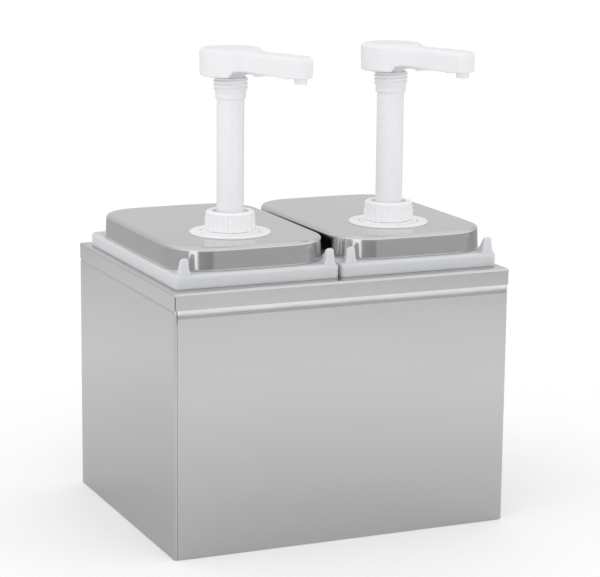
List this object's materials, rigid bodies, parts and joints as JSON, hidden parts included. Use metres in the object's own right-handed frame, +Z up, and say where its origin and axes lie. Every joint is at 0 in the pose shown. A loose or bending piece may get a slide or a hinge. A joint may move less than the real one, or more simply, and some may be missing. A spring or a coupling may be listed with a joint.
{
  "type": "condiment pump dispenser",
  "caption": "Steel countertop box with side-by-side lift-out plastic sauce containers, steel lids and push-down pumps with swivelling spout arms.",
  "frame": {"origin": "middle of the footprint, on the surface the dispenser stands on", "axes": "+Z up, +X to the right as seen from the front, -Y towards the user"},
  "size_m": [0.341, 0.273, 0.4604],
  "materials": {
    "housing_steel": "satin, vertical fine grain",
    "lid_steel": "satin, brushed lengthwise",
    "container_plastic": "milky translucent",
    "white_plastic": "satin moulded",
    "clear_white_plastic": "natural, slightly translucent",
    "gasket_rubber": "matte",
    "ball_steel": "polished",
    "spring_steel": "drawn wire"
  },
  "bodies": {
    "housing": {"top_frame": "housing_steel", "body_wrap": "housing_steel", "front_panel": "housing_steel", "base_pan": "housing_steel"},
    "container_left": {"container_left": "container_plastic"},
    "lid_left": {"lid_left": "lid_steel", "pump_flange_left": "white_plastic", "lid_gasket_left": "gasket_rubber", "back_nut_left": "white_plastic", "rim_gasket_left": "gasket_rubber", "closure_nut_left": "white_plastic", "pump_cylinder_left": "clear_white_plastic", "guide_bush_left": "white_plastic", "foot_valve_left": "white_plastic", "dip_tube_left": "clear_white_plastic"},
    "piston_left": {"piston_left": "white_plastic", "piston_seal_left": "gasket_rubber", "return_spring_left": "spring_steel"},
    "plunger_left": {"stem_tube_left": "white_plastic", "lock_collar_left": "white_plastic", "pump_head_left": "white_plastic", "duct_cover_left": "white_plastic", "nozzle_left": "white_plastic"},
    "inlet_ball_left": {"inlet_ball_left": "ball_steel"},
    "outlet_ball_left": {"outlet_ball_left": "ball_steel"},
    "container_right": {"container_right": "container_plastic"},
    "lid_right": {"lid_right": "lid_steel", "pump_flange_right": "white_plastic", "lid_gasket_right": "gasket_rubber", "back_nut_right": "white_plastic", "rim_gasket_right": "gasket_rubber", "closure_nut_right": "white_plastic", "pump_cylinder_right": "clear_white_plastic", "guide_bush_right": "white_plastic", "foot_valve_right": "white_plastic", "dip_tube_right": "clear_white_plastic"},
    "piston_right": {"piston_right": "white_plastic", "piston_seal_right": "gasket_rubber", "return_spring_right": "spring_steel"},
    "plunger_right": {"stem_tube_right": "white_plastic", "lock_collar_right": "white_plastic", "pump_head_right": "white_plastic", "duct_cover_right": "white_plastic", "nozzle_right": "white_plastic"},
    "inlet_ball_right": {"inlet_ball_right": "ball_steel"},
    "outlet_ball_right": {"outlet_ball_right": "ball_steel"}
  },
  "joints": [
    {"name": "container_lift_left", "type": "slide", "parent": "housing", "child": "container_left", "axis": [0, 0, 1], "range_m": [0, 0.235]},
    {"name": "lid_lift_left", "type": "slide", "parent": "container_left", "child": "lid_left", "axis": [0, 0, 1], "range_m": [0, 0.235]},
    {"name": "pump_stroke_left", "type": "slide", "parent": "lid_left", "child": "piston_left", "axis": [0, 0, -1], "range_m": [0, 0.105], "stiffness_N_per_m": 120, "springref_m": -0.06, "deforming": ["return_spring_left"]},
    {"name": "head_swivel_left", "type": "hinge", "parent": "piston_left", "child": "plunger_left", "pos_m": [-0.0815, -0.0477, 0.446], "axis": [0, 0, 1], "continuous": true},
    {"name": "inlet_valve_left", "type": "slide", "parent": "lid_left", "child": "inlet_ball_left", "axis": [0, 0, 1], "range_m": [0, 0.004]},
    {"name": "outlet_valve_left", "type": "slide", "parent": "piston_left", "child": "outlet_ball_left", "axis": [0, 0, 1], "range_m": [0, 0.004]},
    {"name": "container_lift_right", "type": "slide", "parent": "housing", "child": "container_right", "axis": [0, 0, 1], "range_m": [0, 0.235]},
    {"name": "lid_lift_right", "type": "slide", "parent": "container_right", "child": "lid_right", "axis": [0, 0, 1], "range_m": [0, 0.235]},
    {"name": "pump_stroke_right", "type": "slide", "parent": "lid_right", "child": "piston_right", "axis": [0, 0, -1], "range_m": [0, 0.105], "stiffness_N_per_m": 120, "springref_m": -0.06, "deforming": ["return_spring_right"]},
    {"name": "head_swivel_right", "type": "hinge", "parent": "piston_right", "child": "plunger_right", "pos_m": [0.0843, -0.0477, 0.446], "axis": [0, 0, 1], "continuous": true},
    {"name": "inlet_valve_right", "type": "slide", "parent": "lid_right", "child": "inlet_ball_right", "axis": [0, 0, 1], "range_m": [0, 0.004]},
    {"name": "outlet_valve_right", "type": "slide", "parent": "piston_right", "child": "outlet_ball_right", "axis": [0, 0, 1], "range_m": [0, 0.004]}
  ]
}
